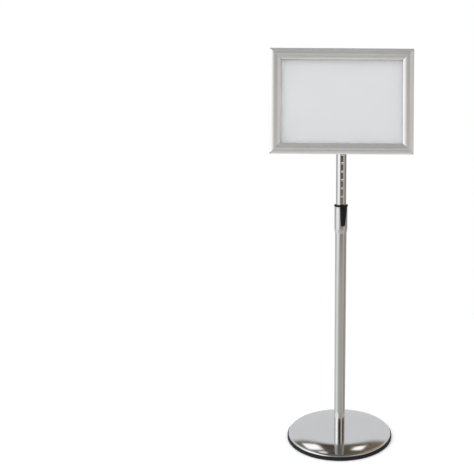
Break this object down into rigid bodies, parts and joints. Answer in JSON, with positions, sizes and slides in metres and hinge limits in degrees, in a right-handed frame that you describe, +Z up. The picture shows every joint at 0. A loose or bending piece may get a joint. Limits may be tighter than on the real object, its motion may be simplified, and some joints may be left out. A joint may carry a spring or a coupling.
{
  "type": "sign stand",
  "caption": "Floor sign stand: round weighted base, telescopic mast with notch lock, and an A4 snap frame that tilts and turns.",
  "frame": {"origin": "on the floor at the centre of the round base, on the mast's axis", "axes": "+Z up along the mast; the sign faces -Y; +X to the right as the sign is read"},
  "size_m": [0.3266, 0.264, 0.9561],
  "materials": {
    "rubber": "matt moulded rubber",
    "chrome": "mirror chrome",
    "polished_tube": "polished chrome tube",
    "satin_tube": "satin chrome tube",
    "iron": "rough cast, black paint",
    "felt": "felt",
    "zinc": "bright zinc",
    "bolt_chrome": "bright",
    "black_plastic": "moulded, fine spark texture",
    "nylon": "natural nylon",
    "black_steel": "powder coat",
    "panel": "matt sheet",
    "anodised": "satin silver anodised",
    "paper": "blank uncoated sheet",
    "clear": "clear anti-glare sheet"
  },
  "bodies": {
    "base": {"rubber_rim": "rubber", "base_cover": "chrome", "base_weight": "iron", "underside_pad": "felt", "base_bolt": "zinc", "base_washer": "zinc", "foot_plug": "zinc", "lower_tube": "satin_tube", "collar": "satin_tube", "guide_bush": "black_plastic", "lever_bracket": "zinc", "lever_pin": "zinc", "lever_spring": "zinc"},
    "lever": {"lock_lever": "black_plastic", "lock_pawl": "zinc"},
    "mast": {"upper_tube": "polished_tube", "tube_glide": "nylon", "top_plug": "black_plastic"},
    "head": {"tilt_bracket": "black_plastic", "tilt_washers": "nylon", "hinge_bolt": "bolt_chrome", "hinge_nut": "bolt_chrome", "hub_washer": "nylon"},
    "sign": {"hub_screw": "zinc", "hub_spring_washer": "zinc", "hub_plate": "black_plastic", "hub_fixings": "zinc", "mount_plate": "black_steel", "back_panel": "panel", "rail_bottom": "anodised", "rail_right": "anodised", "rail_top": "anodised", "rail_left": "anodised", "corner_keys": "anodised", "snap_springs": "zinc", "poster_sheet": "paper", "clear_cover": "clear"},
    "cover_bottom": {"snap_bottom": "anodised"},
    "cover_right": {"snap_right": "anodised"},
    "cover_top": {"snap_top": "anodised"},
    "cover_left": {"snap_left": "anodised"}
  },
  "joints": [
    {"name": "mast_slide", "type": "slide", "parent": "base", "child": "mast", "axis": [0, 0, 1], "range_m": [-0.2, 0.2]},
    {"name": "tilt", "type": "hinge", "parent": "mast", "child": "head", "pos_m": [0, 0, 0.83], "axis": [-1, 0, 0], "range_deg": [-11.5, 143.5]},
    {"name": "turn", "type": "hinge", "parent": "head", "child": "sign", "pos_m": [0, 0, 0.83], "axis": [0, -0.9799, 0.1994], "range_deg": [-90, 90]},
    {"name": "open_bottom", "type": "hinge", "parent": "sign", "child": "cover_bottom", "pos_m": [0, -0.06415, 0.72284], "axis": [1, 0, 0], "range_deg": [0, 95]},
    {"name": "open_right", "type": "hinge", "parent": "sign", "child": "cover_right", "pos_m": [0.1613, -0.04067, 0.83827], "axis": [0, 0.1994, 0.9799], "range_deg": [0, 95]},
    {"name": "open_top", "type": "hinge", "parent": "sign", "child": "cover_top", "pos_m": [0, -0.01718, 0.95371], "axis": [-1, 0, 0], "range_deg": [0, 95]},
    {"name": "open_left", "type": "hinge", "parent": "sign", "child": "cover_left", "pos_m": [-0.1613, -0.04067, 0.83827], "axis": [0, -0.1994, -0.9799], "range_deg": [0, 95]},
    {"name": "press_lever", "type": "hinge", "parent": "base", "child": "lever", "pos_m": [0.00492, -0.01835, 0.566], "axis": [-0.9659, -0.2588, 0], "range_deg": [0, 7], "stiffness_Nm_per_rad": 0.5, "springref_deg": -8.59, "deforming": ["lever_spring"]}
  ]
}
